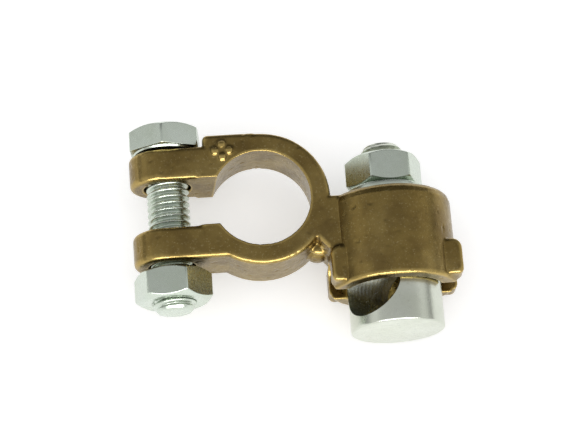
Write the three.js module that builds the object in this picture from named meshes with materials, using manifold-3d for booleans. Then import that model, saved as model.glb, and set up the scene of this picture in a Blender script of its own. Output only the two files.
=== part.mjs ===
// Battery-post terminal clamp with a cable clamping pin.
// Millimetres, +Z up along the post bore, origin on the bore axis in the plane of the ring's underside.
// +X runs from the post towards the cable barrel, +Y towards the head of the clamp bolt.
import * as THREE from "three";
import { mergeVertices } from "three/addons/utils/BufferGeometryUtils.js";
import Module from "manifold-3d";

const wasm = await Module();
wasm.setup();

// Clamp ring, with a 1:9 taper bore that is wider at the bottom
const ringHeight = 12;
const ringRadius = 12.7;
const boreBottomRadius = 9.75;
const boreTaper = 1 / 9;
const boreTopRadius = boreBottomRadius - (boreTaper * ringHeight) / 2;
const castTopRound = 0.9;
const castBottomRound = 0.35;

// The two ears on either side of the jaw gap
const jawGap = 9.1;
const earThickness = 6.2;
const earReach = 24.1;
const earEndRadius = ringHeight / 2;
const earOuterY = jawGap / 2 + earThickness;
const shoulderLeftX = -10.25;
const shoulderRightX = -0.6;
const shoulderY = 12.85;

// Cable barrel, on its own axis along Y
const barrelX = 23.55;
const barrelZ = 5.24;
const barrelRadius = 11.85;
const barrelBackY = 0;
const barrelFrontY = -17.6;
const barrelBackRound = 2;
const barrelFrontRound = 0.6;
const barrelEndWall = 3;
const pinBoreRadius = 9;

// Side wings that hold the cable, and the slot through them
const wingCentreX = 23.8;
const wingWidth = 24.1;
const wingBackY = -10.3;
const wingFrontY = -17.1;
const wingHeight = 15.4;
const wingFrontCornerRadius = 1.1;
const wingBackCornerRadius = 1.8;
const wingEdgeRound = 0.7;
const slotHeight = 6.3;
const slotDepth = 5.4;

// Neck between the ring and the barrel
const neckBackY = -0.4;
const neckFrontRingX = 9.4;
const neckFrontRingY = -7.9;
const neckFrontBarrelX = 12.2;
const neckFrontBarrelY = -11;
const neckEdgeRound = 0.6;

// Polarity cross on the rear ear
const markX = -6.7;
const markY = 9.4;
const markArm = 1.9;
const markWidth = 1.2;
const markHeight = 0.3;

// M8 fasteners
const threadRadius = 3.9;
const clearanceHoleRadius = 4.4;
const nutBoreRadius = 4.2;
const acrossFlats = 12.75;
const chamferCircle = 0.95;
const runningGap = 0.35;
const headHeight = 4.9;
const clampNutHeight = 5.8;
const clampNutGap = 1.05;
const cableNutHeight = 6.1;
const boltAxisX = -17.15;
const boltAxisZ = ringHeight / 2;
const boltHeadY = earOuterY + runningGap;
const boltLength = 30.5;
const boltHeadTurnDeg = 34;
const clampNutTurnDeg = 10.4;
const cableNutTurnDeg = 54;

// Cable pin with its stud, and the washer under its nut
const pinRadius = 8.69;
const pinFrontY = -25.4;
const pinBackY = -7.5;
const pinEdge = 0.4;
const cableHoleRadius = 6.5;
const cableHoleY = -17;
const cableHoleTiltDeg = 44;
const studTipY = 10.7;
const studTipChamfer = 0.8;
const washerRadius = 7.35;
const washerThickness = 1.5;
const washerBackY = barrelBackY + 0.3;
const cableNutY = washerBackY + washerThickness + 0.3;

// Overlap between pieces that are joined, and overrun of the cuts
const joinOverlap = 1.5;
const cutOverrun = 1;

// Facets of round surfaces
const castFacets = 72;
const holeFacets = 32;
const pinFacets = 56;
const roundSteps = 3;

const rad = THREE.MathUtils.degToRad;

// ---- solids and meshes ----

function solidOf(geometry) {
  const bare = geometry.index ? geometry.toNonIndexed() : geometry.clone();
  bare.deleteAttribute("normal");
  bare.deleteAttribute("uv");
  const merged = mergeVertices(bare, 1e-4);
  const index = merged.index.array;
  const triVerts = [];
  for (let i = 0; i < index.length; i += 3) {
    const [a, b, c] = [index[i], index[i + 1], index[i + 2]];
    if (a !== b && b !== c && a !== c) {
      triVerts.push(a, b, c);
    }
  }
  const vertProperties = new Float32Array(merged.attributes.position.array);
  const mesh = new wasm.Mesh({ numProp: 3, vertProperties, triVerts: new Uint32Array(triVerts) });
  return new wasm.Manifold(mesh);
}

function geometryOf(solid) {
  const mesh = solid.getMesh();
  const geometry = new THREE.BufferGeometry();
  geometry.setAttribute("position", new THREE.BufferAttribute(new Float32Array(mesh.vertProperties), 3));
  geometry.setIndex(new THREE.BufferAttribute(new Uint32Array(mesh.triVerts), 1));
  geometry.computeVertexNormals();
  return geometry;
}

function namedMesh(name, solid, material) {
  const mesh = new THREE.Mesh(geometryOf(solid), material);
  mesh.name = name;
  return mesh;
}

// ---- shapes ----

// A quarter round between two directions, as [radius, height] points
function quarterRound(centreR, centreY, radius, startDeg) {
  const points = [];
  for (let i = 0; i <= roundSteps; i += 1) {
    const angle = rad(startDeg + (90 * i) / roundSteps);
    points.push([centreR + radius * Math.cos(angle), centreY + radius * Math.sin(angle)]);
  }
  return points;
}

// A body turned about Y from a closed [radius, height] outline, counterclockwise
function turned(outline, facets) {
  const closed = [...outline, outline[0]];
  const points = closed.map(([r, y]) => new THREE.Vector2(r, y));
  return new THREE.LatheGeometry(points, facets);
}

function turnedAboutZ(outline, facets) {
  return turned(outline, facets).rotateX(Math.PI / 2);
}

function plug(radius, lowY, highY, facets) {
  const length = highY - lowY;
  return new THREE.CylinderGeometry(radius, radius, length, facets).translate(0, lowY + length / 2, 0);
}

function block(lowX, highX, lowY, highY, lowZ, highZ) {
  const box = new THREE.BoxGeometry(highX - lowX, highY - lowY, highZ - lowZ);
  return box.translate((lowX + highX) / 2, (lowY + highY) / 2, (lowZ + highZ) / 2);
}

// Extrudes a plan outline upwards, with its edges rounded
function extrudedUp(shape, lowZ, highZ, edgeRound) {
  const settings = {
    depth: highZ - lowZ - 2 * edgeRound,
    bevelEnabled: edgeRound > 0,
    bevelThickness: edgeRound,
    bevelSize: edgeRound,
    bevelOffset: -edgeRound,
    bevelSegments: roundSteps,
    curveSegments: 10,
  };
  return new THREE.ExtrudeGeometry(shape, settings).translate(0, 0, lowZ + edgeRound);
}

// Extrudes an outline drawn in X and Z along Y, with its edges rounded
function extrudedBack(shape, lowY, highY, edgeRound) {
  return extrudedUp(shape, -highY, -lowY, edgeRound).rotateX(Math.PI / 2);
}

function roundedRectangle(lowX, highX, lowY, highY, frontRadius, backRadius) {
  const shape = new THREE.Shape();
  shape.moveTo(lowX + frontRadius, lowY);
  shape.absarc(highX - frontRadius, lowY + frontRadius, frontRadius, -Math.PI / 2, 0);
  shape.absarc(highX - backRadius, highY - backRadius, backRadius, 0, Math.PI / 2);
  shape.absarc(lowX + backRadius, highY - backRadius, backRadius, Math.PI / 2, Math.PI);
  shape.absarc(lowX + frontRadius, lowY + frontRadius, frontRadius, Math.PI, 1.5 * Math.PI);
  return shape;
}

// ---- the brass casting ----

function ringSolid() {
  const top = quarterRound(ringRadius - castTopRound, ringHeight - castTopRound, castTopRound, 0);
  const bottom = quarterRound(ringRadius - castBottomRound, castBottomRound, castBottomRound, -90);
  const innerRadius = boreTopRadius - joinOverlap;
  const outline = [[innerRadius, 0], ...bottom, ...top, [innerRadius, ringHeight]];
  return solidOf(turnedAboutZ(outline, castFacets));
}

// One ear: a bar with a half-round outer end, running back into the ring wall
function earSolid(lowY, highY) {
  const endX = -earReach + earEndRadius;
  const rootX = -Math.sqrt(ringRadius ** 2 - earOuterY ** 2) + joinOverlap;
  const outline = new THREE.Shape();
  outline.moveTo(rootX, ringHeight);
  outline.lineTo(endX, ringHeight);
  outline.absarc(endX, ringHeight / 2, earEndRadius, Math.PI / 2, 1.5 * Math.PI);
  outline.lineTo(rootX, 0);
  return solidOf(extrudedBack(outline, lowY, highY, castTopRound));
}

// Step on the rear of the ring, close beside the bolt head
function shoulderSolid() {
  const cornerRadius = 1;
  const lowY = jawGap / 2 + joinOverlap;
  const outline = new THREE.Shape();
  outline.moveTo(shoulderLeftX, lowY);
  outline.lineTo(shoulderRightX, lowY);
  outline.lineTo(shoulderRightX, shoulderY);
  outline.absarc(shoulderLeftX + cornerRadius, shoulderY - cornerRadius, cornerRadius, Math.PI / 2, Math.PI);
  return solidOf(extrudedUp(outline, 0, ringHeight, castTopRound));
}

function neckSolid() {
  const insideRingX = boreTopRadius - joinOverlap;
  const insideBarrelX = barrelX - pinBoreRadius + joinOverlap;
  const outline = new THREE.Shape();
  outline.moveTo(insideRingX, neckBackY);
  outline.lineTo(insideRingX, neckFrontRingY + joinOverlap);
  outline.lineTo(neckFrontRingX, neckFrontRingY);
  outline.lineTo(neckFrontBarrelX, neckFrontBarrelY);
  outline.lineTo(insideBarrelX, neckFrontBarrelY);
  outline.lineTo(insideBarrelX, neckBackY);
  return solidOf(extrudedUp(outline, 0, ringHeight, neckEdgeRound));
}

function barrelSolid() {
  const backCentreY = barrelBackY - barrelBackRound;
  const frontCentreY = barrelFrontY + barrelFrontRound;
  const back = quarterRound(barrelRadius - barrelBackRound, backCentreY, barrelBackRound, 0);
  const front = quarterRound(barrelRadius - barrelFrontRound, frontCentreY, barrelFrontRound, -90);
  const outline = [[0, barrelFrontY], ...front, ...back, [0, barrelBackY]];
  return solidOf(turned(outline, castFacets)).translate([barrelX, 0, barrelZ]);
}

function wingSolid() {
  const lowX = wingCentreX - wingWidth / 2;
  const highX = lowX + wingWidth;
  const corners = [wingFrontCornerRadius, wingBackCornerRadius];
  const outline = roundedRectangle(lowX, highX, wingFrontY, wingBackY, ...corners);
  return solidOf(extrudedUp(outline, barrelZ - wingHeight / 2, barrelZ + wingHeight / 2, wingEdgeRound));
}

function polarityCross() {
  const highZ = ringHeight + markHeight;
  const lowZ = ringHeight - joinOverlap;
  const half = markWidth / 2;
  const across = block(markX - markArm, markX + markArm, markY - half, markY + half, lowZ, highZ);
  const along = block(markX - half, markX + half, markY - markArm, markY + markArm, lowZ, highZ);
  return solidOf(across).add(solidOf(along));
}

// Everything cut out of the casting once it is whole
function castingCuts() {
  const grow = (boreTaper * cutOverrun) / 2;
  const postBore = new THREE.CylinderGeometry(
    boreTopRadius - grow,
    boreBottomRadius + grow,
    ringHeight + 2 * cutOverrun,
    castFacets,
  );
  postBore.rotateX(Math.PI / 2).translate(0, 0, ringHeight / 2);
  const gapEndX = -boreTopRadius / 2;
  const lowZ = -cutOverrun;
  const highZ = ringHeight + cutOverrun;
  const gap = block(-earReach - cutOverrun, gapEndX, -jawGap / 2, jawGap / 2, lowZ, highZ);
  const boltHole = plug(clearanceHoleRadius, -earOuterY - cutOverrun, earOuterY + cutOverrun, holeFacets);
  boltHole.translate(boltAxisX, 0, boltAxisZ);
  const pinBore = plug(pinBoreRadius, barrelFrontY - cutOverrun, barrelBackY - barrelEndWall, castFacets);
  pinBore.translate(barrelX, 0, barrelZ);
  const studHole = plug(clearanceHoleRadius, barrelFrontY, barrelBackY + cutOverrun, holeFacets);
  studHole.translate(barrelX, 0, barrelZ);
  return [postBore, gap, boltHole, pinBore, studHole, cableSlot()].map(solidOf);
}

// Slot from side to side through wings and barrel wall, open at the front, round at its inner end
function cableSlot() {
  const radius = slotHeight / 2;
  const innerY = wingFrontY + slotDepth - radius;
  const outline = new THREE.Shape();
  outline.moveTo(barrelFrontY - cutOverrun, barrelZ + radius);
  outline.lineTo(barrelFrontY - cutOverrun, barrelZ - radius);
  outline.absarc(innerY, barrelZ, radius, -Math.PI / 2, Math.PI / 2);
  const halfLength = wingWidth / 2 + cutOverrun;
  const slot = extrudedUp(outline, wingCentreX - halfLength, wingCentreX + halfLength, 0);
  // drawn in Y and Z and extruded along X
  const toWorld = new THREE.Matrix4().makeBasis(
    new THREE.Vector3(0, 1, 0),
    new THREE.Vector3(0, 0, 1),
    new THREE.Vector3(1, 0, 0),
  );
  return slot.applyMatrix4(toWorld);
}

function clampBodySolid() {
  const pieces = [
    ringSolid(),
    earSolid(jawGap / 2, earOuterY),
    earSolid(-earOuterY, -jawGap / 2),
    shoulderSolid(),
    neckSolid(),
    barrelSolid(),
    wingSolid(),
    polarityCross(),
  ];
  const whole = pieces.reduce((sum, piece) => sum.add(piece));
  return castingCuts().reduce((rest, cut) => rest.subtract(cut), whole);
}

// ---- fasteners, each on its own axis along Y ----

// A hexagon whose corners are bevelled by a cone at the chosen ends
function hexSolid(lowY, highY, chamferLow, chamferHigh) {
  const cornerRadius = acrossFlats / Math.sqrt(3);
  const flatRadius = acrossFlats / 2;
  const faceRadius = flatRadius * chamferCircle;
  const wide = cornerRadius + cutOverrun;
  const chamferDrop = (wide - faceRadius) * Math.tan(rad(30));
  const low = chamferLow ? [[faceRadius, lowY], [wide, lowY + chamferDrop]] : [[wide, lowY]];
  const high = chamferHigh ? [[wide, highY - chamferDrop], [faceRadius, highY]] : [[wide, highY]];
  const envelope = turned([[0, lowY], ...low, ...high, [0, highY]], castFacets);
  const length = highY - lowY;
  const prism = new THREE.CylinderGeometry(cornerRadius, cornerRadius, length, 6, 1, false, Math.PI / 2);
  prism.translate(0, lowY + length / 2, 0);
  return solidOf(prism).intersect(solidOf(envelope));
}

function nutSolid(height) {
  const countersink = 0.5;
  const mouthRadius = nutBoreRadius + countersink + cutOverrun;
  const boreOutline = [
    [0, -cutOverrun],
    [mouthRadius, -cutOverrun],
    [nutBoreRadius, countersink],
    [nutBoreRadius, height - countersink],
    [mouthRadius, height + cutOverrun],
    [0, height + cutOverrun],
  ];
  return hexSolid(0, height, true, true).subtract(solidOf(turned(boreOutline, holeFacets)));
}

function clampBoltSolid() {
  const washerFace = 0.4;
  const faceRadius = 5.9;
  const tipY = boltHeadY - boltLength;
  const shankOutline = [
    [0, tipY],
    [threadRadius - studTipChamfer, tipY],
    [threadRadius, tipY + studTipChamfer],
    [threadRadius, boltHeadY],
    [faceRadius, boltHeadY],
    [faceRadius, boltHeadY + 2 * washerFace],
    [0, boltHeadY + 2 * washerFace],
  ];
  const shank = solidOf(turned(shankOutline, holeFacets));
  const head = hexSolid(boltHeadY + washerFace, boltHeadY + headHeight, false, true);
  const turnedHead = head.rotate([0, -boltHeadTurnDeg, 0]);
  return shank.add(turnedHead);
}

function cablePinSolid() {
  const outline = [
    [0, pinFrontY],
    [pinRadius - pinEdge, pinFrontY],
    [pinRadius, pinFrontY + pinEdge],
    [pinRadius, pinBackY - pinEdge],
    [pinRadius - pinEdge, pinBackY],
    [threadRadius, pinBackY],
    [threadRadius, studTipY - studTipChamfer],
    [threadRadius - studTipChamfer, studTipY],
    [0, studTipY],
  ];
  const cableHole = new THREE.CylinderGeometry(cableHoleRadius, cableHoleRadius, 3 * pinRadius, pinFacets);
  // the hole's axis lies across the pin, tilted up from -X
  cableHole.rotateZ(Math.PI / 2).rotateY(rad(cableHoleTiltDeg)).translate(0, cableHoleY, 0);
  return solidOf(turned(outline, pinFacets)).subtract(solidOf(cableHole));
}

function cableWasherSolid() {
  const outline = [
    [nutBoreRadius, 0],
    [washerRadius, 0],
    [washerRadius, washerThickness],
    [nutBoreRadius, washerThickness],
  ];
  return solidOf(turned(outline, pinFacets));
}

// ---- materials ----

function castBrass() {
  return new THREE.MeshStandardMaterial({ color: 0x7d6330, roughness: 0.38, metalness: 1 });
}

function zincSteel() {
  return new THREE.MeshStandardMaterial({ color: 0xb4bdb8, roughness: 0.3, metalness: 1 });
}

// ---- assembly ----

function fastener(name, solid, y, turnDeg) {
  const mesh = namedMesh(name, solid, zincSteel());
  mesh.position.y = y;
  mesh.rotation.y = -rad(turnDeg);
  return mesh;
}

const groundClamp = new THREE.Group();
groundClamp.add(namedMesh("clamp_body", clampBodySolid(), castBrass()));

const clampFasteners = new THREE.Group();
clampFasteners.position.set(boltAxisX, 0, boltAxisZ);
clampFasteners.add(fastener("clamp_bolt", clampBoltSolid(), 0, 0));
const clampNutY = -earOuterY - clampNutGap - clampNutHeight;
clampFasteners.add(fastener("clamp_nut", nutSolid(clampNutHeight), clampNutY, clampNutTurnDeg));
groundClamp.add(clampFasteners);

const cableFasteners = new THREE.Group();
cableFasteners.position.set(barrelX, 0, barrelZ);
cableFasteners.add(fastener("cable_pin", cablePinSolid(), 0, 0));
cableFasteners.add(fastener("cable_washer", cableWasherSolid(), washerBackY, 0));
cableFasteners.add(fastener("cable_nut", nutSolid(cableNutHeight), cableNutY, cableNutTurnDeg));
groundClamp.add(cableFasteners);

export default groundClamp;
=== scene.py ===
import math

import bmesh
import bpy
import numpy as np
from mathutils import Euler, Matrix, Vector, noise as solid_noise


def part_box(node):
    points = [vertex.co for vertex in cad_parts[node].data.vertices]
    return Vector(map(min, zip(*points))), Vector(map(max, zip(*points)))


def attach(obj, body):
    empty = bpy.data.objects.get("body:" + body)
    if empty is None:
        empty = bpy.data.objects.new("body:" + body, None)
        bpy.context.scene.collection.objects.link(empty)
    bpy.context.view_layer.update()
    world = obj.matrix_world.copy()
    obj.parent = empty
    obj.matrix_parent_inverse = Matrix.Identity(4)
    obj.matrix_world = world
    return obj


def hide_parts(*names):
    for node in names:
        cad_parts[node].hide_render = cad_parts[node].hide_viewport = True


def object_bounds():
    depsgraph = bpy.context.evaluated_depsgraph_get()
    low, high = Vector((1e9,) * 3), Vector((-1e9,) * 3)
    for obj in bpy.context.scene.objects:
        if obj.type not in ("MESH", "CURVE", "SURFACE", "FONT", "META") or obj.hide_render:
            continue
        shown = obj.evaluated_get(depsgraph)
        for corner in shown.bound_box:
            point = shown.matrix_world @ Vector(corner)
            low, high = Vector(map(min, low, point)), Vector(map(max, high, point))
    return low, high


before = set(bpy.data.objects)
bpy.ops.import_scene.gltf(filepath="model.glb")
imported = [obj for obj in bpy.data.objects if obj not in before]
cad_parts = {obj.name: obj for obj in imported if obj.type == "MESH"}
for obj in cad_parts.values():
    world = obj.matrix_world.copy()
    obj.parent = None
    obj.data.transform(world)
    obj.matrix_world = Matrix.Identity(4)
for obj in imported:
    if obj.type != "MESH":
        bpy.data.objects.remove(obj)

MM = 0.001
cad_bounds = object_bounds()

# Driving sizes of the fasteners
ACROSS_FLATS = 12.75 * MM
PITCH = 1.25 * MM
THREAD_MAJOR = 3.96 * MM
THREAD_MINOR = 3.3 * MM
THREAD_CLEARANCE = 0.09 * MM
TIP_LENGTH = 1.0 * MM
RUN_OUT = 0.9 * MM
CORNER_ROUND = 0.55 * MM
CHAMFER_SLOPE = math.tan(math.radians(32))
FACE_CIRCLE = 0.93
ROWS_PER_PITCH = 14

# How far each hexagon is turned about its axis, from a corner towards +X, in degrees
BOLT_HEAD_TURN = 34
CLAMP_NUT_TURN = 10.4
CABLE_NUT_TURN = 54

# Cell of the casting's skin
CAST_VOXEL = 0.19 * MM

# Round walls of the casting, and how near to them a point counts as part of them
RING_RADIUS = 12.7 * MM
BORE_RADIUS = 9.75 * MM
BORE_TAPER = 1 / 9
WALL_REACH = 0.05 * MM

WHITE = (1, 1, 1)
BLACK = (0, 0, 0)

# Lumps on the casting, in millimetres: the polarity mark's lobes, and what stands in the corner by the wing
MARK_X = -6.7
MARK_Y = 9.4
LOBE_OFFSETS = ((-1.3, 0), (1.3, 0), (0, -1.15), (0, 1.15))
LOBE_CENTRE_Z = 12.1
LOBE_RADII = (0.85, 0.8, 0.62)
CORNER_LUMPS = (
    ("stub", (10.9, -9.2, 9.5), (0.9, 0.8, 1.0)),
    ("web", (10.5, -9.0, 7.4), (2.2, 1.5, 1.0)),
    ("lip", (10.1, -9.1, 3.6), (2.3, 1.5, 3.2)),
)


# ---- places, from the frame ----

def centre_of(node):
    low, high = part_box(node)
    return (low + high) / 2


clamp_axis = centre_of("clamp_nut")
cable_axis = centre_of("cable_washer")


# ---- meshes ----

def mesh_object(name, vertices, faces):
    mesh = bpy.data.meshes.new(name)
    mesh.from_pydata([tuple(v) for v in vertices], [], faces)
    mesh.validate()
    shape = bmesh.new()
    shape.from_mesh(mesh)
    bmesh.ops.remove_doubles(shape, verts=shape.verts, dist=1e-7)
    bmesh.ops.recalc_face_normals(shape, faces=shape.faces)
    shape.to_mesh(mesh)
    shape.free()
    mesh.shade_smooth()
    piece = bpy.data.objects.new(name, mesh)
    bpy.context.scene.collection.objects.link(piece)
    return piece


def ring_at(radius, height, angles):
    """Points around the Y axis; angles run from +X towards +Z."""
    radius = np.broadcast_to(radius, angles.shape)
    height = np.broadcast_to(height, angles.shape)
    return np.stack([radius * np.cos(angles), height, radius * np.sin(angles)], axis=1)


def skin_rings(name, rings, closed):
    """Joins rings of equal length with quads; an open stack is capped at both ends."""
    count = len(rings[0])
    vertices = np.concatenate(rings)
    faces = []
    pairs = [(i, i + 1) for i in range(len(rings) - 1)]
    if closed:
        pairs.append((len(rings) - 1, 0))
    for lower, upper in pairs:
        for j in range(count):
            k = (j + 1) % count
            faces.append((lower * count + j, lower * count + k, upper * count + k, upper * count + j))
    if not closed:
        faces.append(tuple(range(count)))
        last = (len(rings) - 1) * count
        faces.append(tuple(range(last, last + count)))
    return mesh_object(name, vertices, faces)


def apply_modifiers(piece):
    bpy.context.view_layer.update()
    graph = bpy.context.evaluated_depsgraph_get()
    mesh = bpy.data.meshes.new_from_object(piece.evaluated_get(graph))
    piece.modifiers.clear()
    piece.data = mesh


def weighted_normals(piece):
    modifier = piece.modifiers.new("even_shading", "WEIGHTED_NORMAL")
    modifier.keep_sharp = True


def place(piece, axis, turn_deg, node, body):
    """Turns a piece about its own Y axis, sets it on that axis in the frame and lets it ride."""
    turn = Matrix.Rotation(-math.radians(turn_deg), 4, "Y")
    piece.data.transform(Matrix.Translation((axis.x, 0, axis.z)) @ turn)
    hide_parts(node)
    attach(piece, body)


# ---- threads and hexagons ----

def thread_radius(height, angles, grow):
    """Right-hand thread along Y: the crest climbs one pitch per turn about +Y."""
    phase = np.mod(height / PITCH + angles / (2 * math.pi), 1)
    flank = np.clip((np.abs(2 * phase - 1) - 0.14) / 0.72, 0, 1)
    rounded = 0.35 * (flank * flank * (3 - 2 * flank)) + 0.65 * flank
    return THREAD_MINOR + grow + (THREAD_MAJOR - THREAD_MINOR) * rounded


def corner_arc():
    """Distance of the corner arc's centre from the axis, and the angle at which the arc meets the flat."""
    centre = (ACROSS_FLATS / 2 - CORNER_ROUND) / math.cos(math.radians(30))
    tangent = math.atan2(CORNER_ROUND * 0.5, centre + CORNER_ROUND * math.cos(math.radians(30)))
    return centre, tangent


def hexagon_angles():
    """Even steps over each flat, with extra ones round each corner."""
    _, tangent = corner_arc()
    round_corner = np.linspace(-tangent, tangent, 9)
    over_flat = np.linspace(tangent, math.radians(60) - tangent, 11)[1:-1]
    one_side = np.concatenate([round_corner, over_flat])
    return np.concatenate([one_side + math.radians(60) * k for k in range(6)])


def hexagon_radius(angles):
    """Radius of a hexagon with a corner at angle 0 and rounded corners."""
    sixty = math.radians(60)
    off_corner = np.abs(np.mod(angles + sixty / 2, sixty) - sixty / 2)
    flat = ACROSS_FLATS / 2 / np.cos(sixty / 2 - off_corner)
    centre, tangent = corner_arc()
    across = np.minimum(centre * np.sin(off_corner), CORNER_ROUND)
    arc = centre * np.cos(off_corner) + np.sqrt(CORNER_ROUND ** 2 - across ** 2)
    return np.where(off_corner < tangent, arc, flat)


def chamfered_edge(angles, face_y, inwards):
    """Rings from the face circle out over the chamfer and down to the flats. inwards is -1 or 1."""
    soften = 0.12 * MM
    outer = hexagon_radius(angles)
    circle = ACROSS_FLATS / 2 * FACE_CIRCLE
    edge_y = face_y + inwards * (outer - circle) * CHAMFER_SLOPE
    return [
        ring_at(circle - 2 * soften, face_y, angles),
        ring_at(circle - 0.7 * soften, face_y + inwards * 0.1 * soften, angles),
        ring_at(circle + 0.9 * soften, face_y + inwards * 0.8 * soften, angles),
        ring_at(outer - soften, edge_y - inwards * soften * CHAMFER_SLOPE, angles),
        ring_at(outer - 0.3 * soften, edge_y + inwards * 0.1 * soften, angles),
        ring_at(outer, edge_y + inwards * soften, angles),
    ]


# ---- fasteners ----

def make_nut(name, node, axis, turn_deg, body):
    low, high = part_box(node)
    angles = hexagon_angles()
    mouth = THREAD_MAJOR + 0.35 * MM
    sink = 0.75 * MM
    mouth_edge = 0.12 * MM
    bore_rings = 80
    front = chamfered_edge(angles, low.y, 1)
    back = chamfered_edge(angles, high.y, -1)
    # the thread keeps the phase it has on the screw, wherever the nut is turned
    screw_angles = angles + math.radians(turn_deg)
    bore = []
    for ring_y in np.linspace(high.y - 0.05 * MM, low.y + 0.05 * MM, bore_rings):
        radius = thread_radius(ring_y, screw_angles, THREAD_CLEARANCE)
        depth = min(high.y - ring_y, ring_y - low.y)
        flare = mouth - depth / sink * (mouth - THREAD_MINOR)
        bore.append(ring_at(np.maximum(radius, flare), ring_y, angles))
    mouth_back = [ring_at(mouth + mouth_edge, high.y, angles)]
    mouth_front = [ring_at(mouth + mouth_edge, low.y, angles)]
    rings = front + back[::-1] + mouth_back + bore + mouth_front
    nut = skin_rings(name, rings, closed=True)
    weighted_normals(nut)
    nut.data.materials.append(zinc)
    place(nut, axis, turn_deg, node, body)
    return nut


def screw_tip(tip_y, end_y, angles):
    """Rings from the middle of a screw's tip out over its chamfer to full thread at end_y."""
    direction = 1 if end_y > tip_y else -1
    core = THREAD_MINOR - 0.25 * MM
    rings = [
        ring_at(0.2 * core, tip_y, angles),
        ring_at(0.75 * core, tip_y + direction * 0.02 * MM, angles),
        ring_at(core, tip_y + direction * 0.12 * MM, angles),
    ]
    rows = max(2, round(abs(end_y - tip_y) / PITCH * ROWS_PER_PITCH))
    for y in np.linspace(tip_y, end_y, rows + 1)[2:]:
        cone = core + abs(y - tip_y) * 0.8
        rings.append(ring_at(np.minimum(thread_radius(y, angles, 0), cone), y, angles))
    return rings


def make_clamp_bolt():
    low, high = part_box("clamp_bolt")
    angles = hexagon_angles()
    screw_angles = angles + math.radians(BOLT_HEAD_TURN)
    head_height = 4.5 * MM
    washer_face = 0.4 * MM
    head_low = high.y - head_height
    bearing = head_low - washer_face
    shank = 3.55 * MM
    hexagon = hexagon_radius(angles)
    rings = [
        ring_at(0.3 * MM, high.y - 0.12 * MM, angles),
        ring_at(4.2 * MM, high.y - 0.1 * MM, angles),
        ring_at(4.9 * MM, high.y - 0.02 * MM, angles),
    ]
    rings += chamfered_edge(angles, high.y, -1)
    rings += [
        ring_at(hexagon, head_low + 0.12 * MM, angles),
        ring_at(hexagon - 0.04 * MM, head_low + 0.03 * MM, angles),
        ring_at(hexagon - 0.16 * MM, head_low, angles),
        ring_at(6.05 * MM, head_low, angles),
        ring_at(5.95 * MM, head_low - 0.06 * MM, angles),
        ring_at(5.9 * MM, bearing + 0.05 * MM, angles),
        ring_at(5.8 * MM, bearing, angles),
        ring_at(4.2 * MM, bearing, angles),
        ring_at(3.8 * MM, bearing - 0.1 * MM, angles),
        ring_at(shank, bearing - 0.5 * MM, angles),
    ]
    thread_top = bearing - 1.4 * MM
    thread_low = low.y + TIP_LENGTH
    rows = round((thread_top - thread_low) / PITCH * ROWS_PER_PITCH)
    for y in np.linspace(thread_top, thread_low, rows):
        run_out = min(1, (thread_top - y) / RUN_OUT)
        radius = thread_radius(y, screw_angles, 0)
        rings.append(ring_at(shank + (radius - shank) * run_out, y, angles))
    # the tip follows the same thread, so it is made on the screw's own angles and turned back
    turned_tip = screw_tip(low.y, thread_low, screw_angles)
    unturn = Matrix.Rotation(math.radians(BOLT_HEAD_TURN), 3, "Y")
    rings += [ring @ np.array(unturn).T for ring in turned_tip[::-1]]
    bolt = skin_rings("clamp_bolt_shown", rings, closed=False)
    weighted_normals(bolt)
    bolt.data.materials.append(zinc)
    place(bolt, clamp_axis, BOLT_HEAD_TURN, "clamp_bolt", "clamp_bolt")
    return bolt


def make_washer():
    low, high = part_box("cable_washer")
    angles = np.linspace(0, 2 * math.pi, 120, endpoint=False)
    outer = (high.x - low.x) / 2
    inner = 4.2 * MM
    edge = 0.25 * MM
    rings = [
        ring_at(inner, low.y + edge, angles),
        ring_at(inner + 0.3 * edge, low.y + 0.3 * edge, angles),
        ring_at(inner + edge, low.y, angles),
        ring_at(outer - edge, low.y, angles),
        ring_at(outer - 0.3 * edge, low.y + 0.3 * edge, angles),
        ring_at(outer, low.y + edge, angles),
        ring_at(outer, high.y - edge, angles),
        ring_at(outer - 0.3 * edge, high.y - 0.3 * edge, angles),
        ring_at(outer - edge, high.y, angles),
        ring_at(inner + edge, high.y, angles),
        ring_at(inner + 0.3 * edge, high.y - 0.3 * edge, angles),
        ring_at(inner, high.y - edge, angles),
    ]
    washer = skin_rings("cable_washer_shown", rings, closed=True)
    weighted_normals(washer)
    washer.data.materials.append(zinc)
    place(washer, cable_axis, 0, "cable_washer", "cable_washer")
    return washer


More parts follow.
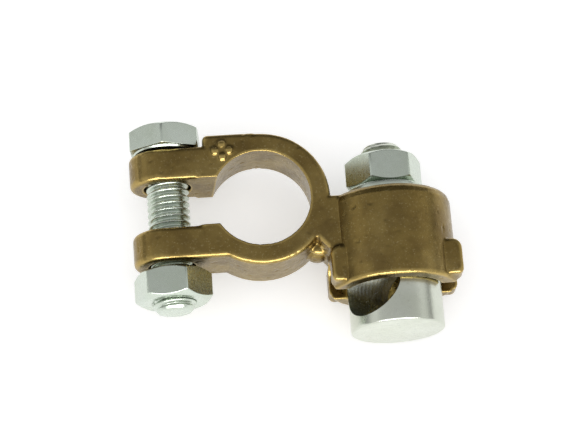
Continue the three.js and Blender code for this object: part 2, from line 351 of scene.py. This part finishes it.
def make_cable_pin():
    low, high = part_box("cable_pin")
    radius = (high.x - low.x) / 2
    shoulder = low.y + 17.9 * MM
    hole_centre = low.y + 8.4 * MM
    edge = 0.3 * MM
    angles = np.linspace(0, 2 * math.pi, 144, endpoint=False)
    rings = [
        ring_at(0.3 * MM, low.y + 0.02 * MM, angles),
        ring_at(radius - 1.5 * edge, low.y, angles),
        ring_at(radius - 1.1 * edge, low.y + 0.06 * edge, angles),
        ring_at(radius - 0.35 * edge, low.y + 0.5 * edge, angles),
        ring_at(radius - 0.06 * edge, low.y + 0.95 * edge, angles),
        ring_at(radius, low.y + 1.5 * edge, angles),
    ]
    wall = np.linspace(low.y + 3 * edge, shoulder - 2 * edge, 24)
    rings += [ring_at(radius, y, angles) for y in wall]
    rings += [
        ring_at(radius, shoulder - edge, angles),
        ring_at(radius - 0.3 * edge, shoulder - 0.3 * edge, angles),
        ring_at(radius - edge, shoulder, angles),
        ring_at(THREAD_MAJOR + 0.5 * MM, shoulder, angles),
        ring_at(THREAD_MAJOR + 0.15 * MM, shoulder + 0.15 * MM, angles),
        ring_at(THREAD_MAJOR - 0.35 * MM, shoulder + 0.5 * MM, angles),
    ]
    thread_low = shoulder + 1.5 * MM
    thread_high = high.y - TIP_LENGTH
    rows = round((thread_high - thread_low) / PITCH * ROWS_PER_PITCH)
    relief = THREAD_MAJOR - 0.35 * MM
    for y in np.linspace(thread_low, thread_high, rows):
        run_in = min(1, (y - thread_low) / RUN_OUT)
        thread = thread_radius(y, angles, 0)
        rings.append(ring_at(relief + (thread - relief) * run_in, y, angles))
    rings += screw_tip(high.y, thread_high, angles)[::-1]
    pin = skin_rings("cable_pin_shown", rings, closed=False)
    cut_cable_hole(pin, hole_centre)
    pin.data.materials.clear()
    pin.data.materials.append(pin_steel)
    place(pin, cable_axis, 0, "cable_pin", "cable_pin")
    return pin


def cut_cable_hole(pin, centre_y):
    """Drills the tilted cross hole, whose wall keeps the fine rings of the drill."""
    hole_radius = 6.5 * MM
    tilt_deg = 44
    groove = 0.005 * MM
    groove_pitch = 1.0 * MM
    half_length = 11 * MM
    angles = np.linspace(0, 2 * math.pi, 120, endpoint=False)
    rings = []
    for y in np.linspace(-half_length, half_length, 140):
        wave = np.sin(2 * math.pi * (y / groove_pitch) + angles)
        rings.append(ring_at(hole_radius + groove * wave, y, angles))
    drill = skin_rings("drill", rings, closed=False)
    across = Matrix.Rotation(math.pi / 2, 4, "Z")
    tilt = Matrix.Rotation(math.radians(tilt_deg), 4, "Y")
    drill.data.transform(Matrix.Translation((0, centre_y, 0)) @ tilt @ across)
    cut = pin.modifiers.new("cross_hole", "BOOLEAN")
    cut.operation = "DIFFERENCE"
    cut.solver = "EXACT"
    cut.object = drill
    apply_modifiers(pin)
    bpy.data.objects.remove(drill)
    pin.data.set_sharp_from_angle(angle=math.radians(32))


# ---- the casting ----

def casting_blank():
    """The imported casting's own shape, welded, as a new mesh."""
    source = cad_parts["clamp_body"]
    blank = bpy.data.objects.new("clamp_body_shown", source.data.copy())
    bpy.context.scene.collection.objects.link(blank)
    shape = bmesh.new()
    shape.from_mesh(blank.data)
    bmesh.ops.remove_doubles(shape, verts=shape.verts, dist=2e-6)
    shape.to_mesh(blank.data)
    shape.free()
    blank.data.materials.clear()
    return blank


def neighbour_means(edges, count):
    degree = np.bincount(edges.ravel(), minlength=count).astype(float)

    def mean(values):
        total = np.empty_like(values)
        for axis in range(values.shape[1]):
            column = values[:, axis]
            total[:, axis] = np.bincount(edges[:, 0], column[edges[:, 1]], count)
            total[:, axis] += np.bincount(edges[:, 1], column[edges[:, 0]], count)
        return total / degree[:, None]

    return mean


def vertex_array(mesh):
    points = np.empty(len(mesh.vertices) * 3)
    mesh.vertices.foreach_get("co", points)
    return points.reshape(-1, 3)


def blob(name, centre, radii):
    """A rounded lump of metal, as three radii about its centre in millimetres."""
    shape = bmesh.new()
    bmesh.ops.create_icosphere(shape, subdivisions=3, radius=1)
    mesh = bpy.data.meshes.new(name)
    shape.to_mesh(mesh)
    shape.free()
    scale = Matrix.Diagonal((*(r * MM for r in radii), 1))
    mesh.transform(Matrix.Translation(Vector(centre) * MM) @ scale)
    return mesh


def add_lumps(casting):
    """The lobes of the polarity mark, and the stub and web left in the corner beside the wing."""
    lumps = [blob("lobe", (MARK_X + x, MARK_Y + y, LOBE_CENTRE_Z), LOBE_RADII) for x, y in LOBE_OFFSETS]
    lumps += [blob(name, centre, radii) for name, centre, radii in CORNER_LUMPS]
    shape = bmesh.new()
    shape.from_mesh(casting.data)
    for lump in lumps:
        shape.from_mesh(lump)
    shape.to_mesh(casting.data)
    shape.free()


def smoothed(points, mean, rounds):
    """Evens out small steps; each inward step is followed by a slightly longer outward one."""
    inward, outward = 0.5, -0.52
    for _ in range(rounds):
        for step in (inward, outward):
            points = points + step * (mean(points) - points)
    return points


def vertex_normals(mesh):
    normals = np.empty(len(mesh.vertices) * 3)
    mesh.vertices.foreach_get("normal", normals)
    return normals.reshape(-1, 3)


def write_points(mesh, points):
    mesh.vertices.foreach_set("co", points.ravel())
    mesh.update()


def on_round_wall(points, across, centre, radius):
    """Moves points that lie next to a faceted round wall onto the true round one."""
    offset = points[:, across] - centre
    distance = np.hypot(offset[:, 0], offset[:, 1])
    wanted = np.where(np.abs(distance - radius) < WALL_REACH, radius, distance)
    points[:, across] = centre + offset * (wanted / distance)[:, None]


def round_walls(points):
    """The barrel, the ring's outside and its tapered bore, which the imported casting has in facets."""
    _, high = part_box("clamp_body")
    on_round_wall(points, [0, 2], np.array([cable_axis.x, cable_axis.z]), high.z - cable_axis.z)
    on_round_wall(points, [0, 1], np.zeros(2), RING_RADIUS)
    on_round_wall(points, [0, 1], np.zeros(2), BORE_RADIUS - points[:, 2] * BORE_TAPER / 2)


def cast_skin(points, normals):
    """The uneven skin of a sand casting: slow waves, a fine grain and a few small pits."""
    wave_scale, wave_height = 260, 0.035
    grain_scale, grain_height = 1300, 0.012
    pit_scale, pit_slope, pit_level = 900, 0.07 / 0.3, 0.42
    elsewhere = Vector((31, 17, 5))
    push = np.empty(len(points))
    for i, point in enumerate(points):
        spot = Vector(point)
        wave = solid_noise.noise(spot * wave_scale)
        grain = solid_noise.noise(spot * grain_scale)
        pit = solid_noise.noise(spot * pit_scale + elsewhere)
        push[i] = wave_height * wave + grain_height * grain - pit_slope * max(0.0, pit - pit_level)
    return points + push[:, None] * MM * normals


def store_painted_highlight_rims(mesh, points, normals, mean):
    """Stores how strongly the skin bends outwards, so that the material can paint a bright gold highlight
    along the rims.
    """
    bend = np.einsum("ij,ij->i", points - mean(points), normals)[:, None] / CAST_VOXEL
    evening_rounds = 4
    for _ in range(evening_rounds):
        bend = mean(bend)
    # how far each point bulges outwards; the brass material turns this into a painted highlight on the rims
    highlight_rim = mesh.attributes.new("highlight_rim", "FLOAT", "POINT")
    highlight_rim.data.foreach_set("value", bend.ravel())


def soften_casting(casting):
    """Rounds every edge a little, and fills the inside corners more, as a casting has them."""
    remesh = casting.modifiers.new("skin", "REMESH")
    remesh.mode = "VOXEL"
    remesh.voxel_size = CAST_VOXEL
    apply_modifiers(casting)
    mesh = casting.data
    edges = np.empty(len(mesh.edges) * 2, np.int64)
    mesh.edges.foreach_get("vertices", edges)
    edges = edges.reshape(-1, 2)
    points = vertex_array(mesh)
    mean = neighbour_means(edges, len(points))
    points = smoothed(points, mean, rounds=20)
    write_points(mesh, points)
    normals = vertex_normals(mesh)
    hollow = np.einsum("ij,ij->i", mean(points) - points, normals)[:, None] / CAST_VOXEL
    fillet_gain, fillet_reach, fillet_rounds = 12, 3, 14
    weight = np.clip(hollow * fillet_gain, 0, 1)
    for _ in range(fillet_reach):
        weight = np.maximum(weight, mean(weight))
    for _ in range(fillet_rounds):
        points = points + 0.5 * weight * (mean(points) - points)
    round_walls(points)
    write_points(mesh, points)
    normals = vertex_normals(mesh)
    store_painted_highlight_rims(mesh, points, normals, mean)
    write_points(mesh, cast_skin(points, normals))
    mesh.shade_smooth()


def make_casting():
    casting = casting_blank()
    add_lumps(casting)
    soften_casting(casting)
    casting.data.materials.append(brass)
    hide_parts("clamp_body")
    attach(casting, "clamp")
    return casting


# ---- materials ----

def new_material(name):
    material = bpy.data.materials.new(name)
    material.use_nodes = True
    nodes = material.node_tree.nodes
    shader = nodes["Principled BSDF"]
    return material, material.node_tree, shader


def noise(tree, scale, detail, seed=0.0):
    coordinates = tree.nodes.new("ShaderNodeTexCoord")
    texture = tree.nodes.new("ShaderNodeTexNoise")
    texture.noise_dimensions = "4D"
    texture.inputs["W"].default_value = seed
    texture.inputs["Scale"].default_value = scale
    texture.inputs["Detail"].default_value = detail
    tree.links.new(coordinates.outputs["Object"], texture.inputs["Vector"])
    return texture.outputs["Fac"]


def ramp(tree, value, stops):
    node = tree.nodes.new("ShaderNodeValToRGB")
    elements = node.color_ramp.elements
    while len(elements) < len(stops):
        elements.new(0.5)
    for element, (position, colour) in zip(elements, stops):
        element.position = position
        element.color = (*colour, 1)
    tree.links.new(value, node.inputs["Fac"])
    return node.outputs["Color"]


def map_range(tree, value, low, high, to_low, to_high):
    node = tree.nodes.new("ShaderNodeMapRange")
    node.inputs["From Min"].default_value = low
    node.inputs["From Max"].default_value = high
    node.inputs["To Min"].default_value = to_low
    node.inputs["To Max"].default_value = to_high
    tree.links.new(value, node.inputs["Value"])
    return node.outputs["Result"]


def mix(tree, factor, colour_a, colour_b, blend="MIX"):
    node = tree.nodes.new("ShaderNodeMix")
    node.data_type = "RGBA"
    node.blend_type = blend
    for socket, value in (("Factor", factor), ("A", colour_a), ("B", colour_b)):
        target = [s for s in node.inputs if s.name == socket and s.enabled][0]
        if isinstance(value, (tuple, float, int)):
            target.default_value = (*value, 1) if isinstance(value, tuple) else value
        else:
            tree.links.new(value, target)
    return [s for s in node.outputs if s.enabled][0]


def bump(tree, shader, heights):
    """Chains bumps, each (height, strength, distance in metres)."""
    last = None
    for height, strength, distance in heights:
        node = tree.nodes.new("ShaderNodeBump")
        node.inputs["Strength"].default_value = strength
        node.inputs["Distance"].default_value = distance
        tree.links.new(height, node.inputs["Height"])
        if last is not None:
            tree.links.new(last, node.inputs["Normal"])
        last = node.outputs["Normal"]
    tree.links.new(last, shader.inputs["Normal"])


def cast_brass_material():
    material, tree, shader = new_material("cast_brass")
    broad = noise(tree, 110, 3, 1.3)
    fine = noise(tree, 900, 4, 4.1)
    grain = noise(tree, 3200, 2, 7.7)
    colour = ramp(tree, broad, [
        (0.3, (0.18, 0.122, 0.036)),
        (0.5, (0.235, 0.165, 0.052)),
        (0.72, (0.3, 0.22, 0.078)),
    ])
    speckled = mix(tree, map_range(tree, fine, 0.55, 0.75, 0, 0.35), colour, (0.13, 0.095, 0.025))
    bright = mix(tree, map_range(tree, grain, 0.6, 0.7, 0, 0.5), speckled, (0.52, 0.43, 0.22))
    patina = noise(tree, 230, 5, 9.4)
    dulled = mix(tree, map_range(tree, patina, 0.46, 0.66, 0, 0.5), bright, (0.11, 0.072, 0.026))
    highlight_rim = tree.nodes.new("ShaderNodeAttribute")
    highlight_rim.attribute_name = "highlight_rim"
    # painted highlight: convex rims get a brighter gold base colour, standing in for the reflections that
    # light their edges
    rim_highlight_amount = map_range(tree, highlight_rim.outputs["Fac"], 0.016, 0.045, 0, 0.6)
    with_painted_rim_highlight = mix(tree, rim_highlight_amount, dulled, (0.56, 0.41, 0.14))
    tree.links.new(with_painted_rim_highlight, shader.inputs["Base Color"])
    shader.inputs["Metallic"].default_value = 1.0
    tree.links.new(map_range(tree, fine, 0.3, 0.7, 0.24, 0.36), shader.inputs["Roughness"])
    bump(tree, shader, [(fine, 0.2, 0.02 * MM), (grain, 0.2, 0.008 * MM)])
    return material


def zinc_material(name, base, tint, rough_low, rough_high):
    material, tree, shader = new_material(name)
    broad = noise(tree, 160, 2, 2.2)
    fine = noise(tree, 1400, 3, 5.5)
    colour = mix(tree, map_range(tree, broad, 0.35, 0.65, 0, 1), base, tint)
    worn = mix(tree, map_range(tree, fine, 0.55, 0.75, 0, 0.2), colour, (0.42, 0.43, 0.38))
    tree.links.new(worn, shader.inputs["Base Color"])
    shader.inputs["Metallic"].default_value = 1.0
    tree.links.new(map_range(tree, fine, 0.3, 0.7, rough_low, rough_high), shader.inputs["Roughness"])
    bump(tree, shader, [(broad, 0.12, 0.04 * MM), (fine, 0.1, 0.006 * MM)])
    return material


def floor_material():
    material, tree, shader = new_material("pale_floor")
    mottle = noise(tree, 3, 2, 0.5)
    colour = mix(tree, map_range(tree, mottle, 0.3, 0.7, 0, 1), (0.9, 0.9, 0.9), (0.93, 0.93, 0.93))
    tree.links.new(colour, shader.inputs["Base Color"])
    shader.inputs["Roughness"].default_value = 0.9
    shader.inputs["Specular IOR Level"].default_value = 0.1
    tree.links.new(colour, shader.inputs["Emission Color"])
    shader.inputs["Emission Strength"].default_value = 0.46
    return material


# ---- studio ----

def make_camera():
    """The product view: high above the front, a little towards the jaws' side, slightly rolled."""
    aim = Vector((4.25, -1.42, 6.0)) * MM
    distance = 376.9 * MM
    azimuth, elevation, roll = (math.radians(a) for a in (11.0, 71.6, 6.93))
    camera_data = bpy.data.cameras.new("camera")
    camera_data.sensor_width = 36
    camera_data.lens = 128.04
    camera_data.clip_start = 0.01
    camera = bpy.data.objects.new("camera", camera_data)
    turn = Euler((math.pi / 2 - elevation, 0, -azimuth), "XYZ").to_matrix()
    turn = turn @ Matrix.Rotation(roll, 3, "Z")
    camera.matrix_world = Matrix.Translation(aim + turn @ Vector((0, 0, distance))) @ turn.to_4x4()
    bpy.context.scene.collection.objects.link(camera)
    bpy.context.scene.camera = camera


def make_light(name, azimuth_deg, elevation_deg, distance, width, height, power, even_light):
    """A soft box aimed at the part; azimuth 0 is behind it (+Y), 90 is to its right (+X).

    It either gives even light, or is only seen mirrored in the metal.
    """
    azimuth = math.radians(azimuth_deg)
    elevation = math.radians(elevation_deg)
    towards = Vector((
        math.sin(azimuth) * math.cos(elevation),
        math.cos(azimuth) * math.cos(elevation),
        math.sin(elevation),
    ))
    data = bpy.data.lights.new(name, "AREA")
    data.shape = "RECTANGLE"
    data.size = width
    data.size_y = height
    data.energy = power
    light = bpy.data.objects.new(name, data)
    light.location = towards * distance
    light.rotation_euler = towards.to_track_quat("Z", "Y").to_euler()
    light.visible_diffuse = even_light
    light.visible_glossy = not even_light
    bpy.context.scene.collection.objects.link(light)


def make_floor():
    low = cad_bounds[0]
    size = 3.0
    bpy.ops.mesh.primitive_plane_add(size=size, location=(0, 0, low[2] - 0.3 * MM))
    floor = bpy.context.object
    floor.name = "floor"
    floor.data.materials.append(floor_material())


def make_world():
    """A studio that is pale overhead and at both sides, darker low down and darkest behind the part."""
    world = bpy.data.worlds.new("studio")
    world.use_nodes = True
    tree = world.node_tree
    coordinates = tree.nodes.new("ShaderNodeTexCoord")
    split = tree.nodes.new("ShaderNodeSeparateXYZ")
    tree.links.new(coordinates.outputs["Generated"], split.inputs["Vector"])
    sky = ramp(tree, split.outputs["Z"], [
        (0.0, (0.24, 0.24, 0.24)),
        (0.25, (0.46, 0.46, 0.46)),
        (0.7, (0.66, 0.66, 0.66)),
        (1.0, (0.62, 0.62, 0.63)),
    ])
    behind = ramp(tree, split.outputs["Y"], [(0.3, WHITE), (0.75, (0.25, 0.25, 0.25))])
    shaded = mix(tree, 1.0, sky, behind, "MULTIPLY")
    across = map_range(tree, split.outputs["X"], -1, 1, 0, 1)
    at_sides = ramp(tree, across, [(0.1, WHITE), (0.25, BLACK), (0.75, BLACK), (0.9, WHITE)])
    half_way_up = ramp(tree, split.outputs["Z"], [(0.1, BLACK), (0.3, WHITE), (0.5, WHITE), (0.7, BLACK)])
    strips = mix(tree, 1.0, at_sides, half_way_up, "MULTIPLY")
    shaded = mix(tree, 0.35, shaded, strips, "ADD")
    seen = tree.nodes.new("ShaderNodeLightPath").outputs["Is Camera Ray"]
    backdrop = mix(tree, seen, shaded, (0.96, 0.96, 0.96))
    tree.links.new(backdrop, tree.nodes["Background"].inputs["Color"])
    bpy.context.scene.world = world
    bpy.context.scene.view_settings.view_transform = "Standard"


# ---- the scene ----

brass = cast_brass_material()
zinc = zinc_material("plated_fastener", (0.53, 0.59, 0.5), (0.58, 0.64, 0.57), 0.24, 0.32)
pin_steel = zinc_material("plated_pin", (0.56, 0.59, 0.5), (0.61, 0.64, 0.56), 0.2, 0.28)

make_casting()
make_clamp_bolt()
make_nut("clamp_nut_shown", "clamp_nut", clamp_axis, CLAMP_NUT_TURN, "clamp_nut")
make_cable_pin()
make_washer()
make_nut("cable_nut_shown", "cable_nut", cable_axis, CABLE_NUT_TURN, "cable_nut")

make_camera()
make_world()
make_light("overhead_box", 200, 75, 1.0, 1.2, 1.2, 4, even_light=True)
make_light("front_box", 180, 24, 0.7, 0.9, 0.3, 6.5, even_light=False)
make_floor()
